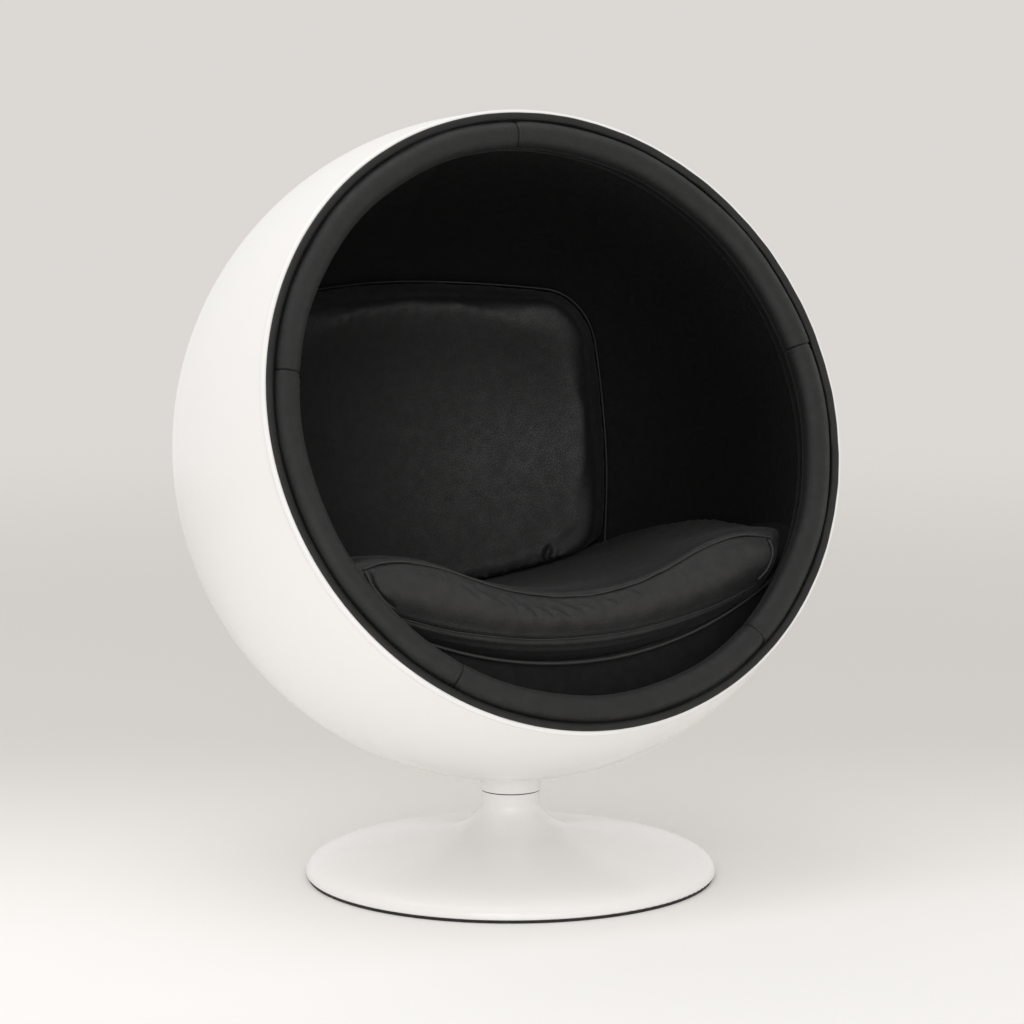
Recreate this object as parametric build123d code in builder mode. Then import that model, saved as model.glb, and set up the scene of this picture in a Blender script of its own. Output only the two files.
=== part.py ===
from build123d import *

import os
from math import asin, cos, degrees, radians, sin, sqrt, tan

# Pod chair: a ball with a round opening that looks up a little, lined and cushioned in
# black leather, turning on a flared pedestal. Millimetres. The origin is on the floor, on
# the swivel axis, +Z is up, and the chair faces -Y.

os.makedirs("parts", exist_ok=True)

# ---------------------------------------------------------------- driving dimensions

# Ball
ball_diameter = 1050.0
ball_underside_height = 159.0  # lowest point of the ball above the floor
ball_setback = 12.0  # the ball's centre lies this far behind the swivel axis
shell_wall = 5.0
opening_tilt = 20.0  # degrees that the opening looks up
rim_offset = 188.5  # cut edge of the shell, in front of the ball's centre
lip_radius = 5.5  # bead moulded along the cut edge
lip_height = 2.7  # its centre in front of the cut edge
lip_setback = 2.1  # its centre inside the cut edge's outer corner
lip_blend = 6.0  # hollow where the bead runs into the ball
glue_line = 0.2  # between pieces bonded on a curved face

# Rim of the opening
ring_thickness = 14.0  # plywood ring that the leather is tacked to
ring_depth = 22.5  # front of the ring behind the shell's cut edge
ring_width = 52.0
trim_width = 12.5  # piped trim that lies against the bead
trim_setback = 3.0  # of its outer edge from the cut edge's outer corner
trim_edge_height = 8.8
trim_crown_height = 11.0
trim_height = 7.0
trim_tail = 3.0
roll_radius = 21.0  # padded leather roll round the opening
roll_groove = 1.0  # dark line between the trim and the roll
top_seam_angle = 90.0  # seams of the roll, in degrees round the opening
upper_roll_span = 78.2
left_roll_span = 69.3
bottom_roll_span = 69.7
seam_gap = 0.6
seam_pucker = 2.0  # rounding of a roll's ends at a seam

# Lining
foam_thickness = 25.0
lining_thickness = 4.0
lining_seat_gap = 0.3  # between the lining and what stands in it
gore_gap = 0.4  # between the foam's gores
gore_hole_radius = 8.0
access_hole_radius = 118.0  # in the lining, over the swivel's bolts

# Seat cushion, measured along and across the tilted opening
seat_rake = 8.5  # degrees that the seat falls towards the back
seat_face_depth = 18.5  # front face of the cushion behind the shell's cut edge
seat_drop = 271.0  # front seam below the opening's centre, at the middle
seat_wing_rise = 44.0  # the front seam rises by this at the end of its middle arc
seat_crest_rise = 72.0  # highest point of the front seam, out near the corner
seat_corner_rise = 67.0
seat_wing_share = 0.535  # of the way from the middle to the corner
seat_crest_share = 0.8
seat_roll_gap = 22.0  # corner of the front seam, inside the padded roll
boxing_height = 68.0  # front seam down to the lower stitch line
boxing_bend_radius = 862.0
seat_crown = 10.0
face_bulge = 7.0
face_inset = 12.0
side_taper = 0.9  # the underside is narrower than the top
side_gap = 20.0  # drawn-in sides stand this far from the lining
seat_ring_gap = 9.0  # where the cushion passes the plywood ring
side_bulge = 8.0
seat_back_bend_radius = 900.0  # of the seat's top, under the back cushion
seat_back_bend_share = 0.97  # keeps the top a little under that bend
seat_bend_start = 0.6  # of the depth, from where the top follows that bend

# Seat deck under the cushion
deck_depth = 68.5  # front edge of the deck behind the shell's cut edge
deck_drop = 364.3  # top of the deck below the opening's centre, at the middle
deck_bend_radius = 673.0
deck_thickness = 12.0
deck_cushion_gap = 0.3
welt_radius = 3.0
fascia_thickness = 8.0
bearer_thickness = 18.0
bearer_spacing = 320.0
bearer_length = 360.0

# Back cushion: an outline on the upright plane that touches the lining at the back, from
# where the sides draw in towards the ball's centre
back_top = 243.5
back_top_draw = 0.44  # how fast the top draws in, as a share of what the sides do
back_bottom = 455.0
back_top_half_width = 482.0
back_bottom_half_width = 580.0
back_top_corner = 149.0
back_bottom_corner = 150.0
back_thickness = 96.0
back_front_share = 0.2  # of that plane's distance, in front of the cushion
back_hollow_shift = 51.0  # its hollow front is struck from this far before the centre
back_edge_rounding = 22.0
back_seat_gap = 3.0
strip_thickness = 1.6  # hook-and-loop strips that hold the back cushion
strip_width = 50.0
strip_spacing = 300.0
strip_length = 260.0

# Swivel
collar_radius = 48.7
collar_wall = 3.5
swivel_gap = 0.3  # between the turning collar and the glide ring
glide_ring_thickness = 1.7
glide_ring_width = 7.0
flange_thickness = 8.0
flange_drop = 9.0  # top of the flange below the ball's lowest point
spindle_radius = 15.0
spindle_tip_radius = 12.0
spindle_tip_length = 1.5  # below the retaining nut
spindle_shoulder_radius = 30.0
pilot_height = 4.0
running_clearance = 0.05
bush_wall = 5.0
bush_length = 26.0
bush_flange_thickness = 3.0
tube_wall = 4.0
race_thickness = 3.0
race_outer_radius = 34.0
bearing_ball_radius = 3.0
bearing_ball_count = 12
bearing_clearance = 0.1
cage_thickness = 3.0
nut_thickness = 10.0
nut_flats = 36.0
retainer_radius = 28.0
bolt_radius = 4.0
bolt_circle_radius = 32.0
bolt_clearance = 0.5
bolt_head_height = 5.3
bolt_head_flats = 13.0
bolt_count = 4
washer_thickness = 1.6
washer_radius = 8.0
block_radius = 110.0  # shaped plywood block inside the shell
block_height = 25.0
plate_radius = 80.0  # steel plate that spreads the swivel's load
plate_thickness = 5.0
plate_rounding = 1.0

# Pedestal
pedestal_height = 137.5
pedestal_radius = 326.0
neck_radius = 47.0
waist_height = 120.0  # where the neck starts to flare
skirt_radius = 110.0  # where the flare runs out into the skirt
skirt_height = 71.5
skirt_slope = 13.0  # degrees that the skirt falls outwards there
skirt_edge_height = 8.0
waist_pull = 25.0  # how far the outline's curves hold their direction at each end
flare_pull = 30.0
skirt_pull = 127.0
edge_pull = 37.0
pedestal_wall = 8.0
hub_radius = 44.0
hub_underside = 24.0
bearing_recess_radius = 38.0
bearing_recess_depth = 19.5
edge_ring_height = 5.0
edge_ring_width = 8.5
edge_ring_setback = 3.5
edge_turn_share = 0.3  # where the outline turns in under the edge
pedestal_lip_width = 3.0
ballast_thickness = 8.0
floor_pad_thickness = 3.0
ballast_bore_radius = 52.0
boss_radius = 10.0
boss_circle_radius = 240.0
boss_count = 6
screw_radius = 3.0
screw_head_radius = 6.0
screw_length = 22.0

# ---------------------------------------------------------------- places worked out

ball_radius = ball_diameter / 2
shell_inner = ball_radius - shell_wall
foam_outer = shell_inner - glue_line
foam_inner = foam_outer - foam_thickness
lining_outer = foam_inner - glue_line
lining_inner = lining_outer - lining_thickness
cabin_radius = lining_inner - lining_seat_gap
ball_centre_z = ball_underside_height + ball_radius

# Local x is the chair's +X, local z looks out of the opening, local y is up across it.
tilt = radians(opening_tilt)
opening = Plane(
    origin=(0, ball_setback, ball_centre_z),
    x_dir=(1, 0, 0),
    z_dir=(0, -cos(tilt), sin(tilt)),
)
opening_axis = Axis(opening.origin, opening.z_dir)
# Planes through the ball's centre: a level one, and an upright one that faces as the chair does
ball_plane = Plane(origin=opening.origin, x_dir=(0, -1, 0), z_dir=(0, 0, 1))
facing = Plane(origin=opening.origin, x_dir=(1, 0, 0), z_dir=(0, -1, 0))

rim_radius = sqrt(ball_radius**2 - rim_offset**2)
lip_centre_radius = rim_radius - lip_setback
lip_offset = rim_offset + lip_height
trim_outer = rim_radius - trim_setback
trim_inner = trim_outer - trim_width
ring_front = rim_offset - ring_depth
ring_back = ring_front - ring_thickness
ring_bore = sqrt(shell_inner**2 - ring_front**2) - ring_width
roll_centre_radius = trim_inner - roll_groove - roll_radius
roll_offset = ring_front + glue_line + roll_radius
roll_bore = roll_centre_radius - roll_radius


def section_at(angle, centre=opening.origin):
    """Plane through an axis that looks out of the opening: local x points away from it."""
    outward = opening.x_dir.rotate(Axis((0, 0, 0), opening.z_dir), angle)
    return Plane(centre, x_dir=outward, z_dir=outward.cross(opening.z_dir))


def finish(piece, name):
    """Labels a finished piece and writes it out under its name."""
    piece.label = name
    export_step(piece, f"parts/{name}.step")


def upright(radius, bottom, top, bore=0.0, mode=Mode.ADD):
    """Upright cylinder on the swivel axis, bored through if a bore is given."""
    with Locations((0, 0, bottom)):
        Cylinder(
            radius,
            top - bottom,
            align=(Align.CENTER, Align.CENTER, Align.MIN),
            mode=mode,
        )
        if bore:
            Cylinder(
                bore,
                top - bottom,
                align=(Align.CENTER, Align.CENTER, Align.MIN),
                mode=Mode.SUBTRACT,
            )


def drill_for_bolts(radius):
    """Drills the swivel's bolt circle through the piece being made."""
    with Locations((0, 0, ball_underside_height)):
        with PolarLocations(bolt_circle_radius, bolt_count, start_angle=45):
            Cylinder(radius, ball_radius / 2, mode=Mode.SUBTRACT)


# ---------------------------------------------------------------- shell and rim

bolt_hole_radius = bolt_radius + bolt_clearance

# Moulded fibreglass ball, open at the front with a bead round the edge, drilled for the swivel
with BuildPart() as shell:
    with BuildSketch(section_at(0)):
        Circle(ball_radius)
        Circle(shell_inner, mode=Mode.SUBTRACT)
        with Locations((0, rim_offset)):
            below_rim = (Align.MIN, Align.MAX)
            Rectangle(ball_radius, ball_radius + rim_offset, align=below_rim, mode=Mode.INTERSECT)
        with Locations((lip_centre_radius, lip_offset)):
            Circle(lip_radius)
        fillet(vertices().sort_by(Axis.X)[-1], lip_blend)
    revolve(axis=opening_axis)
    drill_for_bolts(bolt_hole_radius)
finish(shell.part, "shell")

# Plywood ring bonded just inside the opening
with BuildPart() as tacking_ring:
    with BuildSketch(opening.offset(ring_back)):
        Circle(ball_radius)
        Circle(ring_bore, mode=Mode.SUBTRACT)
    extrude(amount=ring_thickness)
    with Locations(opening):
        Sphere(foam_outer, mode=Mode.INTERSECT)
finish(tacking_ring.part, "tacking_ring")

# Piped trim that fills the corner inside the bead, with a tail tacked to the ring
trim_seat = rim_offset + glue_line
with BuildPart() as rim_trim:
    with BuildSketch(section_at(0)):
        with BuildLine():
            brow = ThreePointArc(
                (trim_outer, trim_seat + trim_edge_height),
                (trim_outer - trim_width / 2, trim_seat + trim_crown_height),
                (trim_inner, trim_seat + trim_height),
            )
            Polyline(
                brow @ 1,
                (trim_inner, ring_front),
                (trim_inner + trim_tail, ring_front),
                (trim_inner + trim_tail, trim_seat),
                (trim_outer, trim_seat),
                brow @ 0,
            )
        make_face()
        with Locations((lip_centre_radius, lip_offset)):
            Circle(lip_radius + glue_line, mode=Mode.SUBTRACT)
    revolve(axis=opening_axis)
finish(rim_trim.part, "rim_trim")

# Padded roll in five sewn lengths, standing on the ring with its ends rounded at the seams
right_roll_span = 360 - 2 * upper_roll_span - left_roll_span - bottom_roll_span
lower_roll_spans = (left_roll_span, bottom_roll_span, right_roll_span)
roll_spans = (upper_roll_span, *lower_roll_spans, upper_roll_span)
half_seam = degrees(seam_gap / 2 / roll_centre_radius)
seam_angle = top_seam_angle
for number, span in enumerate(roll_spans, start=1):
    with BuildPart() as roll:
        with BuildSketch(section_at(seam_angle + half_seam)):
            with Locations((roll_centre_radius, roll_offset)):
                Circle(roll_radius)
        revolve(axis=opening_axis, revolution_arc=span - 2 * half_seam)
        fillet(roll.faces().filter_by(GeomType.PLANE).edges(), seam_pucker)
    finish(roll.part, f"rim_roll_{number}")
    seam_angle += span

# ---------------------------------------------------------------- lining

lining_front = ring_back - glue_line

# Foam bonded to the inside of the shell in five gores, between the same angles as the
# roll's lengths. They meet at a small hole at the back, and one is cut for the bolts.
half_gore_gap = degrees(gore_gap / 2 / foam_inner)
gore_angle = top_seam_angle
for number, span in enumerate(roll_spans, start=1):
    with BuildPart() as gore:
        with BuildSketch(section_at(gore_angle + half_gore_gap)):
            Circle(foam_outer)
            Circle(foam_inner, mode=Mode.SUBTRACT)
            with Locations((gore_hole_radius, lining_front)):
                below_ring = (Align.MIN, Align.MAX)
                Rectangle(ball_radius, ball_diameter, align=below_ring, mode=Mode.INTERSECT)
        revolve(axis=opening_axis, revolution_arc=span - 2 * half_gore_gap)
        with BuildSketch(Plane.XY):
            Circle(access_hole_radius)
        extrude(amount=ball_centre_z, mode=Mode.SUBTRACT)
    finish(gore.part, f"lining_foam_{number}")
    gore_angle += span

# Leather over the foam
with BuildPart() as lining_cover:
    with Locations(opening):
        Sphere(lining_outer)
        Sphere(lining_inner, mode=Mode.SUBTRACT)
    split(bisect_by=opening.offset(lining_front), keep=Keep.BOTTOM)
    with BuildSketch(Plane.XY):
        Circle(access_hole_radius)
    extrude(amount=ball_centre_z, mode=Mode.SUBTRACT)
finish(lining_cover.part, "lining_cover")

# ---------------------------------------------------------------- seat

# The seat runs straight back from the opening's plane and falls by the rake, so across
# the tilted opening it climbs by this much for each millimetre further in.
climb = tan(radians(opening_tilt - seat_rake))
rake_run = Vector(0, cos(radians(seat_rake)), -sin(radians(seat_rake)))
seat_face = rim_offset - seat_face_depth
deck_front = rim_offset - deck_depth


def bend_rise(half_width, bend_radius):
    """How far a bent line rises from its middle to that distance from the middle."""
    return bend_radius - sqrt(bend_radius**2 - half_width**2)


def bend_reach(middle, bend_radius, reach):
    """Half width at which a bent line is that far from the opening's centre."""
    bend_centre = middle + bend_radius
    height = (bend_centre**2 + reach**2 - bend_radius**2) / (2 * bend_centre)
    return sqrt(reach**2 - height**2)


def bent_line(middle, half_width, bend_radius):
    """Upward-bent line across the chair, lowest at its middle."""
    end = middle + bend_rise(half_width, bend_radius)
    return ThreePointArc((-half_width, end), (0, middle), (half_width, end))


def trace_above(middle, bend_radius=deck_bend_radius):
    """Draws the outline of all that lies above a bent line across the chair."""
    lower_line = bent_line(middle, ball_radius, bend_radius)
    Polyline(
        lower_line @ 1,
        (ball_radius, ball_diameter),
        (-ball_radius, ball_diameter),
        lower_line @ 0,
    )


def deck_level(offset):
    """Height of the deck's top across the opening, at the middle, at that offset."""
    return (deck_front - offset) * climb - deck_drop


# Cuts that follow the deck start from a plane in front of everything on it.
before_deck = opening.offset(ball_radius / 2)
level_before_deck = deck_level(ball_radius / 2)


# Bent plywood deck, resting on the lining all round
with BuildPart() as seat_deck:
    with BuildSketch(opening.offset(deck_front)):
        with BuildLine():
            trace_above(-deck_drop - deck_thickness)
        make_face()
        with BuildLine():
            trace_above(-deck_drop)
        make_face(mode=Mode.SUBTRACT)
    extrude(amount=ball_diameter, dir=rake_run)
    with Locations(opening):
        Sphere(cabin_radius, mode=Mode.INTERSECT)
finish(seat_deck.part, "seat_deck")

# Two upright bearers between the deck and the lining
for side, side_name in ((-1, "left"), (1, "right")):
    with BuildPart() as bearer:
        with Locations(opening):
            Sphere(cabin_radius)
        with Locations(facing):
            with Locations((side * bearer_spacing / 2, 0, 0)):
                Box(
                    bearer_thickness,
                    ball_radius,
                    bearer_length,
                    align=(Align.CENTER, Align.MAX, Align.CENTER),
                    mode=Mode.INTERSECT,
                )
        with BuildSketch(before_deck):
            with BuildLine():
                trace_above(level_before_deck - deck_thickness)
            make_face()
        extrude(amount=ball_diameter, dir=rake_run, mode=Mode.SUBTRACT)
    finish(bearer.part, f"deck_bearer_{side_name}")

# Leather-covered panel over the deck's front edge, which closes the space under the deck
fascia_front = deck_front + fascia_thickness + glue_line
with BuildPart() as seat_fascia:
    with BuildSketch(opening.offset(fascia_front)):
        Circle(ball_radius)
        with BuildLine():
            trace_above(deck_level(fascia_front))
        make_face(mode=Mode.SUBTRACT)
    extrude(amount=fascia_thickness, dir=rake_run)
    with Locations(opening):
        Sphere(cabin_radius, mode=Mode.INTERSECT)
finish(seat_fascia.part, "seat_fascia")

# Piped welt along the panel's upper edge
welt_offset = fascia_front + glue_line + welt_radius
welt_middle = deck_level(welt_offset + welt_radius) - welt_radius
welt_reach = sqrt(cabin_radius**2 - (welt_offset + welt_radius) ** 2) - welt_radius
welt_half_width = bend_reach(welt_middle, deck_bend_radius, welt_reach)
welt_half_turn = degrees(asin(welt_half_width / deck_bend_radius))
bend_centre = opening.from_local_coords((0, welt_middle + deck_bend_radius, welt_offset))
with BuildPart() as deck_welt:
    with BuildSketch(section_at(-90 - welt_half_turn, bend_centre)):
        with Locations((deck_bend_radius, 0)):
            Circle(welt_radius)
    revolve(axis=Axis(bend_centre, opening.z_dir), revolution_arc=2 * welt_half_turn)
finish(deck_welt.part, "deck_welt")


def trace_seat(reach, seam, wing, crest, corner, floor, floor_bend):
    """Draws one outline of the seat cushion across the chair.

    The top dips to the seam height at the middle and rises to the wings, the crests and
    the corners, which lie at the reach from the opening's centre. The bottom is a bent
    line whose middle is at the floor height.
    """
    half_top = sqrt(reach**2 - (seam + corner) ** 2)
    half_bottom = half_top * side_taper
    top_end = seam + corner
    bottom_end = floor + bend_rise(half_bottom, floor_bend)
    wing_x = half_top * seat_wing_share
    crest_x = half_top * seat_crest_share
    side_x = (half_top + half_bottom) / 2 + side_bulge
    side_y = (top_end + bottom_end) / 2
    ThreePointArc((-half_top, top_end), (-crest_x, seam + crest), (-wing_x, seam + wing))
    ThreePointArc((-wing_x, seam + wing), (0, seam), (wing_x, seam + wing))
    ThreePointArc((wing_x, seam + wing), (crest_x, seam + crest), (half_top, top_end))
    ThreePointArc((half_top, top_end), (side_x, side_y), (half_bottom, bottom_end))
    ThreePointArc((half_bottom, bottom_end), (0, floor), (-half_bottom, bottom_end))
    ThreePointArc((-half_bottom, bottom_end), (-side_x, side_y), (-half_top, top_end))


# Crowned seat cushion: a bulging front face, then sections that follow the lining back
seat_depth = deck_front + cabin_radius
boxing_floor = -seat_drop - boxing_height
front_rises = (seat_wing_rise, seat_crest_rise, seat_corner_rise)
with BuildPart() as seat_cushion:
    with BuildSketch(opening.offset(seat_face + face_bulge)):
        with BuildLine():
            trace_seat(
                roll_bore - seat_roll_gap - face_inset,
                -seat_drop - face_inset,
                *front_rises,
                boxing_floor + face_inset,
                boxing_bend_radius,
            )
        make_face()
    with BuildSketch(opening.offset(seat_face)):
        with BuildLine():
            trace_seat(
                roll_bore - seat_roll_gap,
                -seat_drop,
                *front_rises,
                boxing_floor,
                boxing_bend_radius,
            )
        make_face()
    for share in (0, 0.16, 0.42, 0.62, 0.78, 0.93):
        station = deck_front - share * seat_depth
        lining_reach = sqrt(cabin_radius**2 - station**2)
        reach = min(lining_reach - side_gap, ring_bore - seat_ring_gap)
        seam = seat_crown - seat_drop + (seat_face - station) * climb
        flatness = min(1, share / seat_bend_start)
        rear_half = bend_reach(seam, seat_back_bend_radius, reach) * seat_back_bend_share
        rises = [
            (1 - flatness) * rise
            + flatness * bend_rise(rear_half * across, seat_back_bend_radius)
            for rise, across in zip(front_rises, (seat_wing_share, seat_crest_share, 1))
        ]
        with BuildSketch(opening.offset(station)):
            with BuildLine():
                trace_seat(
                    reach,
                    seam,
                    *rises,
                    deck_level(station) - deck_thickness / 2,
                    deck_bend_radius,
                )
            make_face()
    loft()
    with BuildSketch(before_deck):
        with BuildLine():
            trace_above(level_before_deck + deck_cushion_gap)
        make_face()
    extrude(amount=ball_diameter, dir=rake_run, mode=Mode.INTERSECT)
    with BuildSketch(section_at(-90)):
        Circle(cabin_radius)
        with Locations((0, -ball_radius)):
            within_ring = (Align.MIN, Align.MIN)
            Rectangle(ring_bore - seat_ring_gap, ball_diameter, align=within_ring, mode=Mode.INTERSECT)
    revolve(axis=opening_axis, mode=Mode.INTERSECT)
finish(seat_cushion.part, "seat_cushion")

# ---------------------------------------------------------------- back cushion

back_rear_radius = cabin_radius - strip_thickness - glue_line

# Back cushion: its rear lies along the lining, its front is hollow and its sides draw in
with BuildPart() as back_cushion:
    for size in (back_front_share, ball_radius / cabin_radius):
        top = back_top * (1 - back_top_draw * (1 - size))
        with BuildSketch(facing.offset(-cabin_radius * size)) as outline:
            with BuildLine():
                Polyline(
                    (-back_top_half_width * size, top),
                    (back_top_half_width * size, top),
                    (back_bottom_half_width * size, -back_bottom * size),
                    (-back_bottom_half_width * size, -back_bottom * size),
                    close=True,
                )
            make_face()
            fillet(outline.vertices().group_by(Axis.Y)[0], back_bottom_corner * size)
            fillet(outline.vertices().group_by(Axis.Y)[-1], back_top_corner * size)
    loft(ruled=True)
    with Locations(ball_plane):
        Sphere(back_rear_radius, mode=Mode.INTERSECT)
        with Locations((back_hollow_shift, 0, 0)):
            Sphere(
                back_rear_radius - back_thickness + back_hollow_shift,
                mode=Mode.SUBTRACT,
            )
    front = back_cushion.faces().filter_by(GeomType.SPHERE).sort_by(Axis.Y)[0]
    fillet(front.edges(), back_edge_rounding)
    with BuildSketch(before_deck):
        with BuildLine():
            seat_top = seat_crown - seat_drop + (seat_face - ball_radius / 2) * climb
            trace_above(seat_top + back_seat_gap, seat_back_bend_radius)
        make_face()
    extrude(amount=ball_diameter, dir=rake_run, mode=Mode.INTERSECT)
finish(back_cushion.part, "back_cushion")

# Hook-and-loop strips between the back cushion and the lining
for side, side_name in ((-1, "left"), (1, "right")):
    with BuildPart() as strip:
        with Locations(ball_plane):
            Sphere(cabin_radius)
            Sphere(cabin_radius - strip_thickness, mode=Mode.SUBTRACT)
        with Locations(facing):
            with Locations((side * strip_spacing / 2, 0, 0)):
                Box(
                    strip_width,
                    strip_length,
                    ball_radius,
                    align=(Align.CENTER, Align.CENTER, Align.MAX),
                    mode=Mode.INTERSECT,
                )
    finish(strip.part, f"back_strip_{side_name}")

# ---------------------------------------------------------------- swivel

collar_bottom = pedestal_height + glide_ring_thickness + swivel_gap
flange_top = ball_underside_height - flange_drop
flange_bottom = flange_top - flange_thickness
flange_radius = collar_radius - collar_wall - glue_line
recess_floor = pedestal_height - bearing_recess_depth
lower_race_top = recess_floor + race_thickness
bearing_ball_z = lower_race_top + bearing_clearance + bearing_ball_radius
upper_race_bottom = bearing_ball_z + bearing_ball_radius + bearing_clearance
shoulder_bottom = upper_race_bottom + race_thickness
bore_radius = spindle_radius + running_clearance
bush_outer = bore_radius + bush_wall
tube_outer = bush_outer + tube_wall
race_bore = spindle_radius + bolt_clearance
ball_track_radius = (race_bore + race_outer_radius) / 2
retainer_top = hub_underside - bush_flange_thickness - swivel_gap
retainer_bottom = retainer_top - race_thickness
nut_bottom = retainer_bottom - nut_thickness
block_top = ball_underside_height + block_height
plate_top = block_top + plate_thickness
washer_top = plate_top + washer_thickness


# Shaped block that turns the ball's curved inside into a flat seat
with BuildPart() as mounting_block:
    upright(block_radius, ball_underside_height, block_top)
    with Locations(opening):
        Sphere(foam_outer, mode=Mode.INTERSECT)
    drill_for_bolts(bolt_hole_radius)
finish(mounting_block.part, "mounting_block")

# Steel plate that spreads the load of the bolt heads
with BuildPart() as spreader_plate:
    upright(plate_radius, block_top, plate_top)
    drill_for_bolts(bolt_hole_radius)
    top_edges = spreader_plate.edges().group_by(Axis.Z)[-1]
    fillet(top_edges.sort_by(SortBy.LENGTH)[-1], plate_rounding)
finish(spreader_plate.part, "spreader_plate")

# Bolts down through plate, block, shell and collar into the flange
with BuildPart() as flange_bolts:
    with Locations((0, 0, flange_bottom)):
        with PolarLocations(bolt_circle_radius, bolt_count, start_angle=45):
            Cylinder(
                bolt_radius,
                washer_top - flange_bottom,
                align=(Align.CENTER, Align.CENTER, Align.MIN),
            )
    with BuildSketch(Plane.XY.offset(washer_top)):
        with PolarLocations(bolt_circle_radius, bolt_count, start_angle=45):
            RegularPolygon(bolt_head_flats / 2, 6, major_radius=False)
    extrude(amount=bolt_head_height)
finish(flange_bolts.part, "flange_bolts")

with BuildPart() as bolt_washers:
    with BuildSketch(Plane.XY.offset(plate_top)):
        with PolarLocations(bolt_circle_radius, bolt_count, start_angle=45):
            Circle(washer_radius)
            Circle(bolt_hole_radius, mode=Mode.SUBTRACT)
    extrude(amount=washer_thickness)
finish(bolt_washers.part, "bolt_washers")

# Cast collar under the ball, hollowed from below for the spindle's flange
with BuildPart() as collar:
    upright(collar_radius, collar_bottom, ball_underside_height + block_height)
    upright(flange_radius + glue_line, collar_bottom, flange_top, mode=Mode.SUBTRACT)
    upright(spindle_radius, flange_top, ball_underside_height, mode=Mode.SUBTRACT)
    with Locations(opening):
        Sphere(ball_radius + glue_line, mode=Mode.SUBTRACT)
    drill_for_bolts(bolt_hole_radius)
finish(collar.part, "collar")

# Turned steel spindle with its flange
with BuildPart() as spindle:
    upright(spindle_tip_radius, nut_bottom - spindle_tip_length, retainer_top)
    upright(spindle_radius, retainer_top, shoulder_bottom)
    upright(spindle_shoulder_radius, shoulder_bottom, flange_bottom)
    upright(flange_radius, flange_bottom, flange_top)
    drill_for_bolts(bolt_radius)
    upright(spindle_radius, flange_top, flange_top + pilot_height)
finish(spindle.part, "spindle")

# Thrust bearing that carries the ball
with BuildPart() as upper_race:
    upright(race_outer_radius, upper_race_bottom, shoulder_bottom, race_bore)
finish(upper_race.part, "upper_race")

with BuildPart() as lower_race:
    upright(race_outer_radius, recess_floor, lower_race_top, race_bore)
finish(lower_race.part, "lower_race")

with BuildPart() as bearing_balls:
    with Locations((0, 0, bearing_ball_z)):
        with PolarLocations(ball_track_radius, bearing_ball_count):
            Sphere(bearing_ball_radius)
finish(bearing_balls.part, "bearing_balls")

with BuildPart() as ball_cage:
    cage_bottom = bearing_ball_z - cage_thickness / 2
    upright(
        race_outer_radius - bolt_clearance,
        cage_bottom,
        cage_bottom + cage_thickness,
        race_bore + bolt_clearance,
    )
    with Locations((0, 0, bearing_ball_z)):
        with PolarLocations(ball_track_radius, bearing_ball_count):
            Cylinder(
                bearing_ball_radius + bearing_clearance,
                cage_thickness,
                mode=Mode.SUBTRACT,
            )
finish(ball_cage.part, "ball_cage")

# Steel tube and two bushes that guide the spindle
with BuildPart() as bearing_tube:
    upright(tube_outer, hub_underside, recess_floor, bush_outer)
finish(bearing_tube.part, "bearing_tube")

with BuildPart() as upper_bush:
    upright(bush_outer, recess_floor - bush_length, recess_floor, bore_radius)
finish(upper_bush.part, "upper_bush")

with BuildPart() as lower_bush:
    upright(bush_outer, hub_underside, hub_underside + bush_length)
    upright(tube_outer, hub_underside - bush_flange_thickness, hub_underside)
    upright(
        bore_radius,
        hub_underside - bush_flange_thickness,
        hub_underside + bush_length,
        mode=Mode.SUBTRACT,
    )
finish(lower_bush.part, "lower_bush")

with BuildPart() as retaining_washer:
    upright(retainer_radius, retainer_bottom, retainer_top, spindle_tip_radius)
finish(retaining_washer.part, "retaining_washer")

with BuildPart() as retaining_nut:
    with BuildSketch(Plane.XY.offset(nut_bottom)):
        RegularPolygon(nut_flats / 2, 6, major_radius=False)
        Circle(spindle_tip_radius, mode=Mode.SUBTRACT)
    extrude(amount=nut_thickness)
finish(retaining_nut.part, "retaining_nut")

# Dark glide ring that shows as a line between the collar and the pedestal
with BuildPart() as glide_ring:
    upright(
        neck_radius,
        pedestal_height,
        pedestal_height + glide_ring_thickness,
        neck_radius - glide_ring_width,
    )
finish(glide_ring.part, "glide_ring")

# ---------------------------------------------------------------- pedestal

# The flank's outline: a flare below the neck, then a skirt that rounds over to the edge
fall = Vector(cos(radians(skirt_slope)), -sin(radians(skirt_slope)))
skirt_start = Vector(skirt_radius, skirt_height)
flare = Bezier(
    (neck_radius, waist_height),
    (neck_radius, waist_height - waist_pull),
    skirt_start - fall * flare_pull,
    skirt_start,
)
skirt = Bezier(
    skirt_start,
    skirt_start + fall * skirt_pull,
    (pedestal_radius, skirt_edge_height + edge_pull),
    (pedestal_radius, skirt_edge_height),
)
edge_drop = skirt_edge_height - edge_ring_height
outer_under_rim = pedestal_radius - edge_ring_setback
inner_under_rim = outer_under_rim - edge_ring_width
ballast_top = floor_pad_thickness + ballast_thickness
ceiling = [skirt @ share - Vector(0, pedestal_wall) for share in (0, 0.28, 0.56, 0.72)]
boss_top = ceiling[2].Y + pedestal_wall / 2


def place_screws():
    """Places of the ballast's screws, round the swivel axis."""
    return PolarLocations(boss_circle_radius, boss_count)


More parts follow.
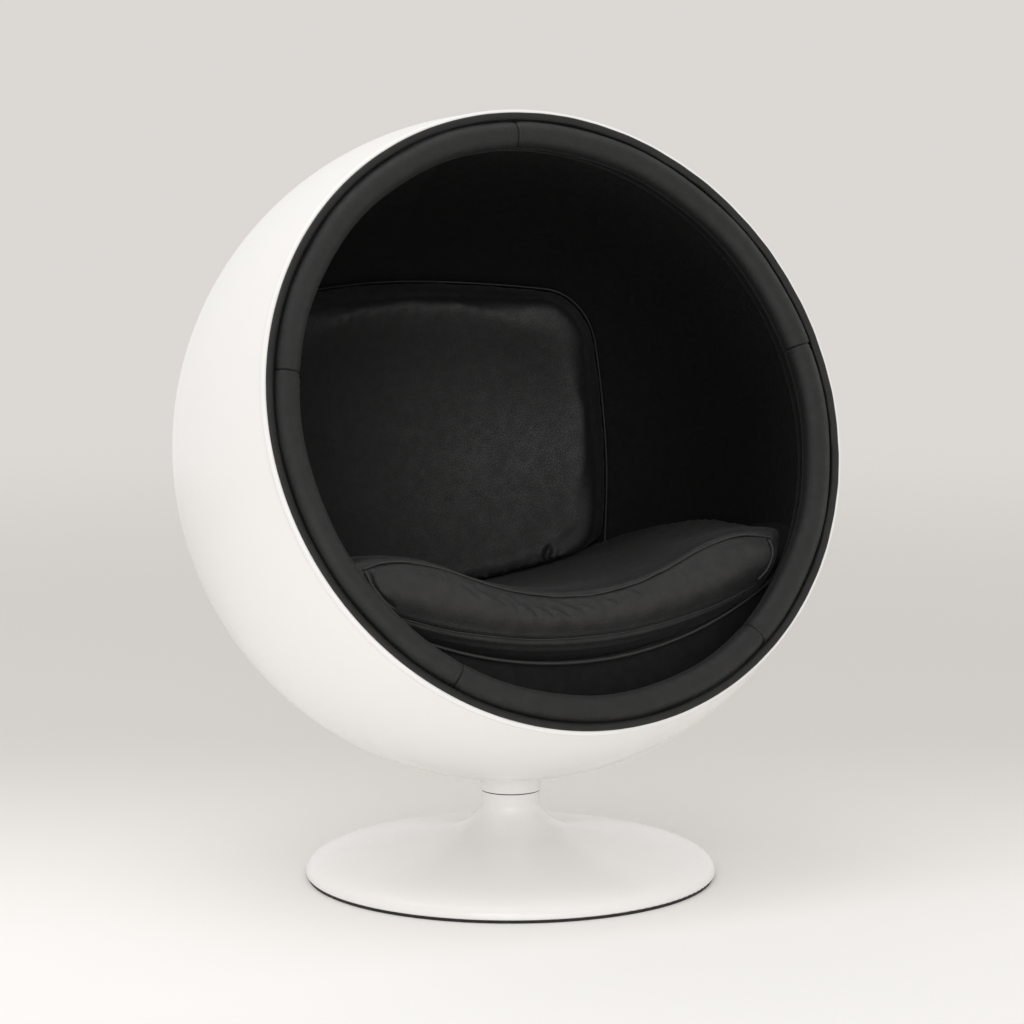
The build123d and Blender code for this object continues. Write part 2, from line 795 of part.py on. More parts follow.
def screws(mode=Mode.ADD):
    """Countersunk screws standing in the ballast plate and the bosses above it."""
    head_height = screw_head_radius - screw_radius
    with Locations((0, 0, floor_pad_thickness)):
        with place_screws():
            Cone(
                screw_head_radius,
                screw_radius,
                head_height,
                align=(Align.CENTER, Align.CENTER, Align.MIN),
                mode=mode,
            )
            Cylinder(
                screw_radius,
                screw_length,
                align=(Align.CENTER, Align.CENTER, Align.MIN),
                mode=mode,
            )


# Cast trumpet foot with a hub for the bearing tube and bosses for the ballast
with BuildPart() as pedestal:
    with BuildSketch(Plane.XZ):
        with BuildLine():
            add(flare)
            add(skirt)
            under_edge = ThreePointArc(
                skirt @ 1,
                (
                    pedestal_radius - edge_ring_setback * edge_turn_share,
                    edge_ring_height + edge_drop * edge_turn_share,
                ),
                (outer_under_rim, edge_ring_height),
            )
            Polyline(
                under_edge @ 1,
                (0, edge_ring_height),
                (0, pedestal_height),
                (neck_radius, pedestal_height),
                flare @ 0,
            )
        make_face()
    revolve(axis=Axis.Z)
    with BuildSketch(Plane.XZ):
        with BuildLine():
            inner_flank = Spline((hub_radius, ceiling[0].Y - pedestal_wall), *ceiling)
            Polyline(
                inner_flank @ 1,
                (inner_under_rim, ceiling[-1].Y / 2),
                (inner_under_rim, edge_ring_height),
                (0, edge_ring_height),
                (0, hub_underside),
                (hub_radius, hub_underside),
                inner_flank @ 0,
            )
        make_face()
    revolve(axis=Axis.Z, mode=Mode.SUBTRACT)
    with Locations((0, 0, ballast_top)):
        with place_screws():
            Cylinder(
                boss_radius,
                boss_top - ballast_top,
                align=(Align.CENTER, Align.CENTER, Align.MIN),
            )
    screws(mode=Mode.SUBTRACT)
    upright(tube_outer, hub_underside, recess_floor, mode=Mode.SUBTRACT)
    upright(bearing_recess_radius, recess_floor, pedestal_height, mode=Mode.SUBTRACT)
finish(pedestal.part, "pedestal")

# Rubber ring under the foot's edge
with BuildPart() as edge_ring:
    upright(outer_under_rim, 0, edge_ring_height, inner_under_rim)
finish(edge_ring.part, "edge_ring")

# Steel ballast plate and its screws
with BuildPart() as ballast_plate:
    upright(
        inner_under_rim - pedestal_lip_width,
        floor_pad_thickness,
        ballast_top,
        ballast_bore_radius,
    )
    screws(mode=Mode.SUBTRACT)
finish(ballast_plate.part, "ballast_plate")

with BuildPart() as ballast_screws:
    screws()
finish(ballast_screws.part, "ballast_screws")

# Felt pad under the ballast
with BuildPart() as floor_pad:
    upright(inner_under_rim - glue_line, 0, floor_pad_thickness)
finish(floor_pad.part, "floor_pad")
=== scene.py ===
import math
import random

import bpy
import numpy as np
from mathutils import Matrix, Vector
from mathutils.bvhtree import BVHTree


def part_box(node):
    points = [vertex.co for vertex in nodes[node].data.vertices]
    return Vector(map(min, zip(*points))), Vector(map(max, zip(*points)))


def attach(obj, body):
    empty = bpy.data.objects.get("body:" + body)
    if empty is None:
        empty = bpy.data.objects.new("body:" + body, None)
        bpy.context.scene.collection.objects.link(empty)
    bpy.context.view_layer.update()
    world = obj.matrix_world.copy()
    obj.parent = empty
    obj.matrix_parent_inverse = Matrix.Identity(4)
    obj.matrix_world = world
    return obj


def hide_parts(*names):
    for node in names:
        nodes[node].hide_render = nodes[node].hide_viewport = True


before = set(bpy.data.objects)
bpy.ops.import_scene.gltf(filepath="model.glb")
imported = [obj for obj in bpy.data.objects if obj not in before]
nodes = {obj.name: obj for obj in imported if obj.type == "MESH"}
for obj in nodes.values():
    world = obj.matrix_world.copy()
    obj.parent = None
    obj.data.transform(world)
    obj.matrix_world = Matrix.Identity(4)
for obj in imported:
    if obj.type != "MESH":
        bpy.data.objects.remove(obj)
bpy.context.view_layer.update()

# ---------------------------------------------------------------- camera
# The chair stands turned a little to the right of the camera, which looks slightly down
# on it through a long lens.

camera_place = (-2.622, -5.087, 1.381)
camera_heading = math.radians(-27.29)
camera_pitch = math.radians(7.94)

bpy.ops.object.camera_add(
    location=camera_place,
    rotation=(math.radians(90) - camera_pitch, 0, camera_heading),
)
camera = bpy.context.object
camera.data.sensor_width = 36
camera.data.lens = 128.95
bpy.context.scene.camera = camera
bpy.context.scene.view_settings.view_transform = "Standard"

# ---------------------------------------------------------------- floor and light
# A wide pale floor that fades into an even backdrop, and three large soft lamps: in front on
# the left, overhead, and low in front. The floor's colour is lighter near the camera and
# darker further away: painted light and painted shade.


class Value:
    """A socket of a finish being mixed. Sums on it add the nodes that work them out."""

    def __init__(self, finish, socket):
        self.finish = finish
        self.socket = socket

    def sum(self, operation, first, second):
        return self.finish.node("Math", {"operation": operation}, "Value", {0: first, 1: second})

    def __add__(self, other):
        return self.sum("ADD", self, other)

    def __sub__(self, other):
        return self.sum("SUBTRACT", self, other)

    def __rsub__(self, other):
        return self.sum("SUBTRACT", other, self)

    def __mul__(self, other):
        return self.sum("MULTIPLY", self, other)

    __radd__ = __add__
    __rmul__ = __mul__


class Finish:
    """A finish in the making: its constants are set at once, and patterns are added."""

    def __init__(self, name, colour=None, **constants):
        self.material = bpy.data.materials.new(name)
        self.material.use_nodes = True
        self.tree = self.material.node_tree
        self.shader = self.tree.nodes["Principled BSDF"]
        if colour:
            self.shader.inputs["Base Color"].default_value = (*colour, 1)
        for socket, constant in constants.items():
            self.shader.inputs[socket.replace("_", " ")].default_value = constant

    def node(self, kind, settings, output, sockets):
        """Adds a node with its settings and the values or links of its sockets."""
        made = self.tree.nodes.new("ShaderNode" + kind)
        for setting, value in settings.items():
            setattr(made, setting, value)
        for socket, value in sockets.items():
            self.plug(made.inputs[socket], value)
        return Value(self, made.outputs[output])

    def plug(self, socket, value):
        if isinstance(value, Value):
            self.tree.links.new(value.socket, socket)
        else:
            socket.default_value = value

    def feed(self, socket, value):
        """Gives the shader a value that changes over the surface."""
        self.plug(self.shader.inputs[socket], value)

    def place(self):
        """Where a point of the surface lies in the chair's own frame, in metres."""
        return self.node("TexCoord", {}, "Object", {})

    def noise(self, per_metre, detail=3.0, roughness=0.5, stretch=(1, 1, 1)):
        where = self.place()
        if stretch != (1, 1, 1):
            where = self.node("Mapping", {}, "Vector", {"Vector": where, "Scale": stretch})
        sockets = {"Vector": where, "Scale": per_metre, "Detail": detail, "Roughness": roughness}
        return self.node("TexNoise", {}, "Fac", sockets)

    def spread(self, value, low, high, new_low, new_high):
        """Maps a value's range to another range, smoothly and kept inside it."""
        sockets = {0: value, 1: low, 2: high, 3: new_low, 4: new_high}
        return self.node("MapRange", {"interpolation_type": "SMOOTHSTEP"}, "Result", sockets)

    def blended(self, share, first, second):
        """A colour between two colours."""
        sockets = {0: share, 6: (*first, 1), 7: (*second, 1)}
        return self.node("Mix", {"data_type": "RGBA"}, 2, sockets)

    def relief(self, height, metres, strength=1.0):
        """Feeds the shader a relief as deep as that many metres."""
        sockets = {"Height": height, "Distance": metres, "Strength": strength}
        self.feed("Normal", self.node("Bump", {}, "Normal", sockets))


# Painted light and shade on the floor: its colour is lighter near the camera and darker away from it.
floor_painted_light = (0.94, 0.93, 0.915)
floor_painted_shade = (0.65, 0.628, 0.605)
backdrop = (0.715, 0.685, 0.66)
floor_radius = 9
darkens_from, darkens_to = -0.5, 1.2
fades_from, fades_to = 1.6, 6.0

bpy.ops.object.select_all(action="DESELECT")
bpy.ops.mesh.primitive_circle_add(vertices=128, radius=floor_radius, fill_type="NGON")
floor = bpy.context.object
floor.name = "floor"
paper = Finish("floor_paper", Roughness=0.9, Specular_IOR_Level=0.1)
turned = paper.node(
    "VectorRotate",
    {"rotation_type": "Z_AXIS"},
    "Vector",
    {"Vector": paper.place(), "Angle": -camera_heading},
)
depth = paper.node("SeparateXYZ", {}, "Y", {"Vector": turned})
# The share of painted shade, which grows with distance from the camera.
painted_falloff = paper.spread(depth, darkens_from, darkens_to, 0, 1)
paper.feed("Base Color", paper.blended(painted_falloff, floor_painted_light, floor_painted_shade))
reach = paper.node("VectorMath", {"operation": "LENGTH"}, "Value", {0: paper.place()})
paper.feed("Alpha", paper.spread(reach, fades_from, fades_to, 1, 0))
floor.data.materials.append(paper.material)

world = bpy.data.worlds.new("pale_surround")
bpy.context.scene.world = world
world.use_nodes = True
sky = world.node_tree
surround = sky.nodes["Background"]
surround.inputs["Color"].default_value = (1.0, 0.985, 0.965, 1)
surround.inputs["Strength"].default_value = 0.86
seen = sky.nodes.new("ShaderNodeBackground")
seen.inputs["Color"].default_value = (*backdrop, 1)
eye = sky.nodes.new("ShaderNodeLightPath")
either = sky.nodes.new("ShaderNodeMixShader")
sky.links.new(eye.outputs["Is Camera Ray"], either.inputs["Fac"])
sky.links.new(surround.outputs["Background"], either.inputs[1])
sky.links.new(seen.outputs["Background"], either.inputs[2])
sky.links.new(either.outputs["Shader"], sky.nodes["World Output"].inputs["Surface"])


def hang_lamp(name, place, aim, size, watts):
    """Hangs a square soft lamp that faces a point."""
    bpy.ops.object.light_add(type="AREA", location=place)
    lamp = bpy.context.object
    lamp.name = name
    lamp.data.size = size
    lamp.data.energy = watts
    lamp.rotation_euler = (Vector(aim) - Vector(place)).to_track_quat("-Z", "Y").to_euler()


hang_lamp("front_lamp", (-3.4, -4.6, 1.9), (0, -0.2, 0.6), 2.4, 31)
hang_lamp("top_lamp", (-0.9, 0.7, 4.0), (0, 0, 0.4), 3.4, 32)
hang_lamp("low_lamp", (-1.0, -3.2, 0.35), (0, -0.2, 0.25), 1.6, 9)

# ---------------------------------------------------------------- shell
# A ball of glass fibre and resin, moulded in one piece, cut off flat at the opening and
# sprayed with a warm white gloss.

shell_low, shell_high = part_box("shell")
ball_radius = (shell_high[0] - shell_low[0]) / 2
ball_centre = Vector((0, shell_high[1] - ball_radius, shell_low[2] + ball_radius))

white_gloss = Finish(
    "white_gloss", (0.86, 0.85, 0.835), Roughness=0.2, Coat_Weight=0.35, Coat_Roughness=0.06
)
ripple = white_gloss.noise(14, detail=1.0)
peel = white_gloss.noise(420, detail=1.0)
dust = white_gloss.noise(9, detail=1.0)
white_gloss.feed("Roughness", white_gloss.spread(dust, 0.2, 0.8, 0.19, 0.23))
dusted = white_gloss.spread(dust, 0.2, 0.8, 0, 1)
white_gloss.feed("Base Color", white_gloss.blended(dusted, (0.868, 0.858, 0.844), (0.862, 0.852, 0.837)))
white_gloss.relief(ripple * 0.85 + peel * 0.15, 0.0004, 0.08)


def give_finish(node_names, finish):
    """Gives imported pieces, whose shape is right, their finish."""
    for name in node_names:
        for slot in nodes[name].material_slots:
            slot.material = finish.material


give_finish(["shell"], white_gloss)

# ---------------------------------------------------------------- rim trim
# A band of black full-grain leather with a fine pebbled grain, folded over piping cord,
# tacked to the ring and bent over the shell's cut edge.

opening_tilt = math.radians(20)
look_out = Vector((0, -math.cos(opening_tilt), math.sin(opening_tilt)))
up_across = Vector((0, math.sin(opening_tilt), math.cos(opening_tilt)))
facing = Matrix((Vector((1, 0, 0)), up_across, look_out)).transposed()
opening = Matrix.Translation(ball_centre) @ facing.to_4x4()

trim_low, trim_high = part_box("rim_trim")
trim_outer = (trim_high[0] - trim_low[0]) / 2
trim_width = 0.0125
trim_inner = trim_outer - trim_width
trim_middle = trim_outer - trim_width / 2
trim_face = 0.1942
trim_rise = 0.0026
trim_swell = 0.0044
trim_fold = 0.003
piping_seat = 0.1888
trim_core = 0.1885
ring_front = 0.166
swell_steps = 16


def tan_hide(name, colour, roughness, grain=0.00022, shine=0.42):
    """Mixes a black leather whose grain is as deep as that many metres."""
    wear = 0.35
    pale = tuple(channel * (1 + wear) for channel in colour)
    deep = tuple(channel * (1 - wear) for channel in colour)
    hide = Finish(name, colour, Sheen_Weight=0.06, Sheen_Roughness=0.4, Specular_IOR_Level=shine)
    sway = hide.node("TexNoise", {}, "Color", {"Vector": hide.place(), "Scale": 160.0, "Detail": 2.0})
    bent = hide.node(
        "VectorMath", {"operation": "MULTIPLY_ADD"}, "Vector", {0: sway, 1: (0.0012,) * 3, 2: hide.place()}
    )
    pebbles = hide.node("TexVoronoi", {"feature": "F1"}, "Distance", {"Vector": bent, "Scale": 620.0})
    edges = hide.node(
        "TexVoronoi", {"feature": "DISTANCE_TO_EDGE"}, "Distance", {"Vector": bent, "Scale": 210.0}
    )
    lines = hide.spread(edges, 0.0, 0.09, 0, 1)
    mottle = hide.noise(55, detail=4.0, roughness=0.6)
    handled = mottle * 0.6 + hide.noise(7, detail=2.0) * 0.4
    hide.feed("Roughness", hide.spread(handled, 0.35, 0.68, roughness + 0.07, roughness - 0.06))
    dyed = hide.spread(mottle * 0.7 + lines * 0.3, 0.3, 0.8, 0, 1)
    hide.feed("Base Color", hide.blended(dyed, deep, pale))
    hide.relief((1 - pebbles) * 0.45 + lines * 0.35 + mottle * 0.2, grain * 4, 0.55)
    return hide


def spun(name, outline, start, span, steps):
    """Spins a closed outline, in pairs of radius and height, about an upright axis.

    The start and the span are in degrees.
    """
    bpy.ops.object.select_all(action="DESELECT")
    bpy.ops.mesh.primitive_circle_add(vertices=len(outline))
    piece = bpy.context.object
    piece.name = name
    turn = Matrix.Rotation(math.radians(start), 3, "Z")
    for vertex, (radius, height) in zip(piece.data.vertices, outline):
        vertex.co = turn @ Vector((radius, 0, height))
    bpy.ops.object.mode_set(mode="EDIT")
    bpy.ops.mesh.select_all(action="SELECT")
    if span < 360:
        bpy.ops.mesh.edge_face_add()
    bpy.ops.mesh.spin(steps=steps, angle=math.radians(span), center=(0, 0, 0), axis=(0, 0, -1))
    bpy.ops.mesh.select_all(action="SELECT")
    bpy.ops.mesh.remove_doubles(threshold=0.00001)
    bpy.ops.mesh.normals_make_consistent(inside=False)
    bpy.ops.object.mode_set(mode="OBJECT")
    bpy.ops.object.shade_smooth()
    return piece


def read_points(piece):
    """Places of a piece's mesh points, one row each."""
    places = np.empty(len(piece.data.vertices) * 3)
    piece.data.vertices.foreach_get("co", places)
    return places.reshape(-1, 3)


def write_points(piece, places):
    """Moves a piece's mesh points."""
    piece.data.vertices.foreach_set("co", places.ravel())
    piece.data.update()


def hand_over(piece, finish, home, *replaced):
    """Carries a finished leather piece home, and gives it its finish and its body."""
    piece.data.transform(home)
    piece.data.update()
    piece.data.materials.clear()
    piece.data.materials.append(finish.material)
    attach(piece, "ball")
    if replaced:
        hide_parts(*replaced)


def wrinkles(along, around, seed, spacing, depth):
    """Depth of fine creases that run across a padded roll, at each of its points.

    The points are given by how far along the roll they lie, in metres, and by their
    angle around its section.
    """
    chance = random.Random(seed)
    pressed = np.zeros(len(along))
    where = along.min()
    while where < along.max():
        where += chance.expovariate(1 / spacing)
        middle = chance.uniform(-math.pi, math.pi)
        reach = chance.uniform(0.5, 1.5)
        lean = chance.uniform(-0.004, 0.004)
        width = chance.uniform(0.0011, 0.0024)
        turned = np.angle(np.exp(1j * (around - middle)))
        strength = np.exp(-((turned / reach) ** 2)) * chance.uniform(0.3, 1)
        off = along - where - lean * turned
        pressed += depth * strength * np.exp(-((off / width) ** 2))
    return pressed


# The same black hide as the cushions, given a darker colour: painted shade on the trim and the roll.
rim_hide_painted_shade = tan_hide("rim_leather_painted_shade", (0.0055, 0.0053, 0.0054), 0.5)

trim_outline = [(trim_inner + trim_fold, ring_front), (trim_inner, ring_front)]
for step in range(swell_steps + 1):
    turn = math.pi * step / swell_steps
    share = (1 - math.cos(turn)) / 2
    height = trim_face + trim_rise * share + trim_swell * math.sin(turn) ** 0.7
    trim_outline.append((trim_inner + share * trim_width, height))
trim_outline += [(0.4845, 0.1953), (0.4828, 0.192), (0.4826, piping_seat)]
trim_outline.append((trim_inner + trim_fold, piping_seat))
trim = spun("piped_trim", trim_outline, 0, 360, 900)
places = read_points(trim)
angles = np.arctan2(places[:, 1], places[:, 0])
around = np.arctan2(places[:, 2] - trim_core, np.hypot(places[:, 0], places[:, 1]) - trim_middle)
proud = np.clip((places[:, 2] - 0.1955) / 0.003, 0, 1)
sink = wrinkles(angles * trim_outer, around, 5, 0.02, 0.00035) * proud
sway = 0.0004 * np.sin(angles * 23 + 1.3) + 0.0003 * np.sin(angles * 61)
places[:, 2] += (sway - sink) * proud
write_points(trim, places)
hand_over(trim, rim_hide_painted_shade, opening, "rim_trim")

# ---------------------------------------------------------------- padded roll
# Leather sewn round a foam core in five lengths, tacked to the ring under the trim. Its
# seams are turned in, with a row of stitches beside each, and the hide gathers there.

roll_radius = 0.0216
roll_centre_radius = trim_inner - 0.022
roll_offset = ring_front + 0.0212
roll_seams = (90, 168.2, 237.5, 307.2, 371.8)
half_seam = math.degrees(0.0003 / roll_centre_radius)
roll_sides = 44
roll_step = 0.0018
stitch_line = 0.0075
deepest = 0.006


def round_section(middle, height, radius, sides):
    """The outline of a round section, in pairs of radius and height."""
    turns = [2 * math.pi * side / sides for side in range(sides)]
    return [(middle + radius * math.cos(turn), height + radius * math.sin(turn)) for turn in turns]


for number, start in enumerate(roll_seams, start=1):
    end = roll_seams[number] if number < len(roll_seams) else roll_seams[0] + 360
    length = math.radians(end - start) * roll_centre_radius
    outline = round_section(roll_centre_radius, roll_offset, roll_radius, roll_sides)
    span = end - start - 2 * half_seam
    roll = spun(f"padded_roll_{number}", outline, start + half_seam, span, int(length / roll_step))
    places = read_points(roll)
    radii = np.hypot(places[:, 0], places[:, 1])
    angles = np.degrees(np.arctan2(places[:, 1], places[:, 0]))
    along = np.radians((angles - start + 1) % 360 - 1) * roll_centre_radius
    to_seam = np.minimum(along, length - along)
    outwards = radii - roll_centre_radius
    forwards = places[:, 2] - roll_offset
    around = np.arctan2(forwards, outwards)
    sink = wrinkles(along, around, 10 + number, 0.016, 0.00042)
    sink += wrinkles(along, around, 30 + number, 0.0045, 0.0011) * np.exp(-to_seam / 0.014)
    sink += 0.0026 * np.exp(-to_seam / 0.0022)
    sink += 0.0009 * np.exp(-(((to_seam - stitch_line) / 0.0012) ** 2))
    sink -= 0.0008 * np.sin(around * 2 + along * 9) * np.exp(-to_seam / 0.06)
    sink += 0.0006 * np.sin(along * 31 + number) * np.cos(around)
    scale = 1 - np.clip(sink, -0.0006, deepest) / roll_radius
    places[:, :2] *= ((roll_centre_radius + outwards * scale) / radii)[:, None]
    places[:, 2] = roll_offset + forwards * scale
    write_points(roll, places)
    hand_over(roll, rim_hide_painted_shade, opening, f"rim_roll_{number}")

# ---------------------------------------------------------------- lining
# Leather in five gores over thin foam, sewn along lines that run from the roll's seams
# back to one point. A band of the same leather is folded round the ring behind the roll.

ring_bore = 0.4408
ring_back = 0.152
lining_radius = 0.4906
lining_thickness = 0.0022
lining_gap = 0.0008
seam_groove = 0.0024
groove_width = 0.013
seams_meet = 0.05
access_hole_radius = 0.118
# The same black hide as the cushions, given a much darker colour: painted shade of the ball's interior. The
# lining, the ring's band and the panel under the seat wear it.
lining_hide_painted_shade = tan_hide("lining_leather_painted_shade", (0.0034, 0.0033, 0.0033), 0.66, shine=0.2)

bpy.ops.object.select_all(action="DESELECT")
bpy.ops.mesh.primitive_uv_sphere_add(segments=360, ring_count=180, radius=lining_radius)
lining = bpy.context.object
lining.name = "leather_lining"
bpy.ops.object.mode_set(mode="EDIT")
bpy.ops.mesh.select_all(action="SELECT")
bpy.ops.mesh.bisect(plane_co=(0, 0, ring_back - lining_gap), plane_no=(0, 0, 1), clear_outer=True)
bpy.ops.object.mode_set(mode="OBJECT")
places = read_points(lining)
angles = np.degrees(np.arctan2(places[:, 1], places[:, 0]))
from_axis = np.hypot(places[:, 0], places[:, 1])
groove = np.zeros(len(places))
for seam in roll_seams:
    off = np.radians((angles - seam + 180) % 360 - 180) * from_axis
    groove = np.maximum(groove, np.exp(-((off / groove_width) ** 2)))
groove *= np.clip(from_axis / seams_meet, 0, 1)
places *= (1 + seam_groove * groove / lining_radius)[:, None]
write_points(lining, places)
bpy.ops.object.mode_set(mode="EDIT")
bpy.ops.mesh.select_all(action="SELECT")
bpy.ops.mesh.normals_make_consistent(inside=True)
bpy.ops.object.mode_set(mode="OBJECT")
bpy.ops.object.shade_smooth()
wall = lining.modifiers.new("wall", "SOLIDIFY")
wall.thickness = lining_thickness
wall.offset = -1
bpy.ops.object.modifier_apply(modifier="wall")
hand_over(lining, lining_hide_painted_shade, opening, "lining_cover")

bpy.ops.object.select_all(action="DESELECT")
bpy.ops.mesh.primitive_cylinder_add(vertices=96, radius=access_hole_radius, depth=0.3, location=(0, 0, 0.2))
hole = bpy.context.object
bpy.context.view_layer.objects.active = lining
opened = lining.modifiers.new("access_hole", "BOOLEAN")
opened.operation = "DIFFERENCE"
opened.object = hole
bpy.ops.object.modifier_apply(modifier="access_hole")
bpy.data.objects.remove(hole)

band = 0.0012
band_gap = 0.0002
band_bend = 0.0008
band_end = 0.469
band_bore = ring_bore - band_gap - band
band_back = ring_back - band_gap - band
band_outline = [
    (band_end, band_back),
    (band_bore + band_bend, band_back),
    (band_bore, ring_back),
    (band_bore, ring_front + band_gap),
    (band_bore + band_bend, ring_front + band),
    (0.448, ring_front + 0.001),
    (0.46, ring_front + 0.001),
    (trim_inner, ring_front + band),
    (trim_inner, ring_front + band_gap),
    (ring_bore - band_gap, ring_front + band_gap),
    (ring_bore - band_gap, ring_back - band_gap),
    (band_end, ring_back - band_gap),
]
hand_over(spun("ring_facing", band_outline, 0, 360, 240), lining_hide_painted_shade, opening)

# ---------------------------------------------------------------- seat cushion
# Foam in a leather cover: a top panel, a thick front panel that swells, and end panels,
# sewn with turned seams. The hide gathers under the middle of the front seam.

seat_seam_offset = 0.1745
seat_seam_points = (
    (-0.354, -0.204),
    (-0.324, -0.1985),
    (-0.283, -0.199),
    (-0.236, -0.2105),
    (-0.189, -0.227),
    (-0.095, -0.2600),
    (0.0, -0.271),
)
lower_seam_middle = -0.339
lower_seam_bend = 0.862
lower_seam_half = 0.318
lower_seam_offset = 0.1725
line_step = 0.004
top_seam_reach = 0.024
lower_seam_reach = 0.026
front_tuck = 0.016
seam_depth = 0.0022
lower_seam_depth = 0.0030
cushion_hide = tan_hide("cushion_leather", (0.0125, 0.0120, 0.0121), 0.47)
# The welts' leather is the same black hide given a lighter colour, with a finer grain and lower roughness:
# the lighter colour is a painted highlight along the welts.
welt_hide_painted_highlight = tan_hide("welt_leather_painted_highlight", (0.02, 0.0195, 0.0195), 0.34, grain=0.0001)


def smooth_line(points):
    """Points evenly spaced on a smooth curve through the given points."""
    curve = bpy.data.curves.new("line", "CURVE")
    curve.dimensions = "3D"
    curve.resolution_u = 24
    spline = curve.splines.new("BEZIER")
    spline.bezier_points.add(len(points) - 1)
    for knot, point in zip(spline.bezier_points, points):
        knot.co = point
        knot.handle_left_type = "AUTO"
        knot.handle_right_type = "AUTO"
    holder = bpy.data.objects.new("line", curve)
    bpy.context.collection.objects.link(holder)
    bpy.context.view_layer.update()
    curved = bpy.data.meshes.new_from_object(holder.evaluated_get(bpy.context.evaluated_depsgraph_get()))
    fine = np.array([vertex.co[:] for vertex in curved.vertices])
    bpy.data.objects.remove(holder)
    steps = np.linalg.norm(np.diff(fine, axis=0), axis=1)
    run = np.concatenate([[0], np.cumsum(steps)])
    stations = np.linspace(0, run[-1], max(3, int(run[-1] / line_step)))
    return np.stack([np.interp(stations, run, fine[:, axis]) for axis in range(3)], axis=1)


def near_line(places, line):
    """How far each point lies from a line, and how far along the line, from 0 to 1."""
    nearest = np.full(len(places), 9.0)
    shares = np.zeros(len(places))
    for number, (start, end) in enumerate(zip(line[:-1], line[1:])):
        way = end - start
        share = np.clip((places - start) @ way / (way @ way + 1e-12), 0, 1)
        off = np.linalg.norm(places - start - share[:, None] * way, axis=1)
        closer = off < nearest
        nearest[closer] = off[closer]
        shares[closer] = ((number + share) / (len(line) - 1))[closer]
    return nearest, shares


def read_normals(piece):
    """Outward directions at a piece's mesh points, one row each."""
    ways = np.empty(len(piece.data.vertices) * 3, dtype=np.float32)
    piece.data.vertex_normals.foreach_get("vector", ways)
    return ways.reshape(-1, 3).astype(float)


def mirrored(points):
    """The points, then the same points on the other side, from the middle outwards."""
    return [*points, *[(-point[0], *point[1:]) for point in points[-2::-1]]]


def even_copy(node, name, home, voxel, calm):
    """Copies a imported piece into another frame, with even faces and its edges softened."""
    piece = bpy.data.objects.new(name, nodes[node].data.copy())
    bpy.context.collection.objects.link(piece)
    bpy.ops.object.select_all(action="DESELECT")
    piece.select_set(True)
    bpy.context.view_layer.objects.active = piece
    piece.data.transform(home.inverted())
    bpy.ops.object.mode_set(mode="EDIT")
    bpy.ops.mesh.select_all(action="SELECT")
    bpy.ops.mesh.remove_doubles(threshold=0.00001)
    bpy.ops.object.mode_set(mode="OBJECT")
    shape = piece.modifiers.new("even_mesh", "REMESH")
    shape.mode = "VOXEL"
    shape.voxel_size = voxel
    bpy.ops.object.modifier_apply(modifier="even_mesh")
    smoothed(piece, calm)
    return piece


def smoothed(piece, calm):
    """Evens a piece's surface out, as many times over as is asked."""
    soften = piece.modifiers.new("soften", "SMOOTH")
    soften.factor = 0.5
    soften.iterations = calm
    bpy.ops.object.modifier_apply(modifier="soften")


def plumped(node, name, home, cap, slack, seams, free, calm):
    """Copies a packed cushion and lets its cover swell between its seams.

    The slack is the cover's share of spare hide, and the cap the most that it may lift.
    The seams are lines that the cover is sewn down along. The function given as free
    tells, from the points and their outward directions, where the cover may move.
    """
    voxel = 0.006
    cushion = even_copy(node, name, home, voxel, 3)
    before = read_points(cushion)
    loose = free(before, read_normals(cushion))
    for seam in seams:
        loose &= near_line(before, seam)[0] > voxel * 0.8
    sewn = cushion.vertex_groups.new(name="sewn")
    sewn.add([int(index) for index in np.nonzero(~loose)[0]], 1.0, "REPLACE")
    cloth = cushion.modifiers.new("cover", "CLOTH")
    cloth.settings.quality = 5
    cloth.settings.mass = 0.3
    cloth.settings.tension_stiffness = 12
    cloth.settings.compression_stiffness = 8
    cloth.settings.shear_stiffness = 6
    cloth.settings.bending_stiffness = 2.0
    cloth.settings.shrink_min = -slack
    cloth.settings.use_pressure = True
    cloth.settings.uniform_pressure_force = 4
    cloth.settings.vertex_group_mass = "sewn"
    cloth.settings.effector_weights.gravity = 0
    cloth.collision_settings.use_collision = False
    for step in range(1, 21):
        bpy.context.scene.frame_set(step)
    made = cushion.evaluated_get(bpy.context.evaluated_depsgraph_get())
    after = np.empty(len(before) * 3)
    made.data.vertices.foreach_get("co", after)
    cushion.modifiers.remove(cloth)
    bpy.context.scene.frame_set(1)
    moved = after.reshape(-1, 3) - before
    size = np.linalg.norm(moved, axis=1)
    moved *= (cap * np.tanh(size / cap) / np.maximum(size, 1e-9))[:, None]
    write_points(cushion, before + moved)
    smoothed(cushion, calm)
    finer = cushion.modifiers.new("finer", "SUBSURF")
    finer.levels = finer.render_levels = 1
    bpy.ops.object.modifier_apply(modifier="finer")
    bpy.ops.object.shade_smooth()
    return cushion


def press(cushion, line, depth, width, taper=0.5):
    """Presses a crease along a line into a cushion, with soft shoulders beside it."""
    places = read_points(cushion)
    ways = read_normals(cushion)
    off, share = near_line(places, line)
    fade = np.clip(np.sin(np.pi * np.clip(share, 0.001, 0.999)), 0, 1) ** taper
    valley = np.exp(-((off / width) ** 2)) - 0.3 * np.exp(-(((off - 2 * width) / width) ** 2))
    write_points(cushion, places - ways * (depth * fade * valley)[:, None])


def laid_on(line, surface, lift=0.0, even=0):
    """Lays a line's points on a surface, lifted from it, and evens the line out."""
    laid = []
    for point in line:
        place, way = surface.find_nearest(Vector(point))[:2]
        laid.append((place + way * lift)[:])
    laid = np.array(laid)
    for _ in range(even):
        laid[1:-1] = (laid[:-2] + 2 * laid[1:-1] + laid[2:]) / 4
    return laid


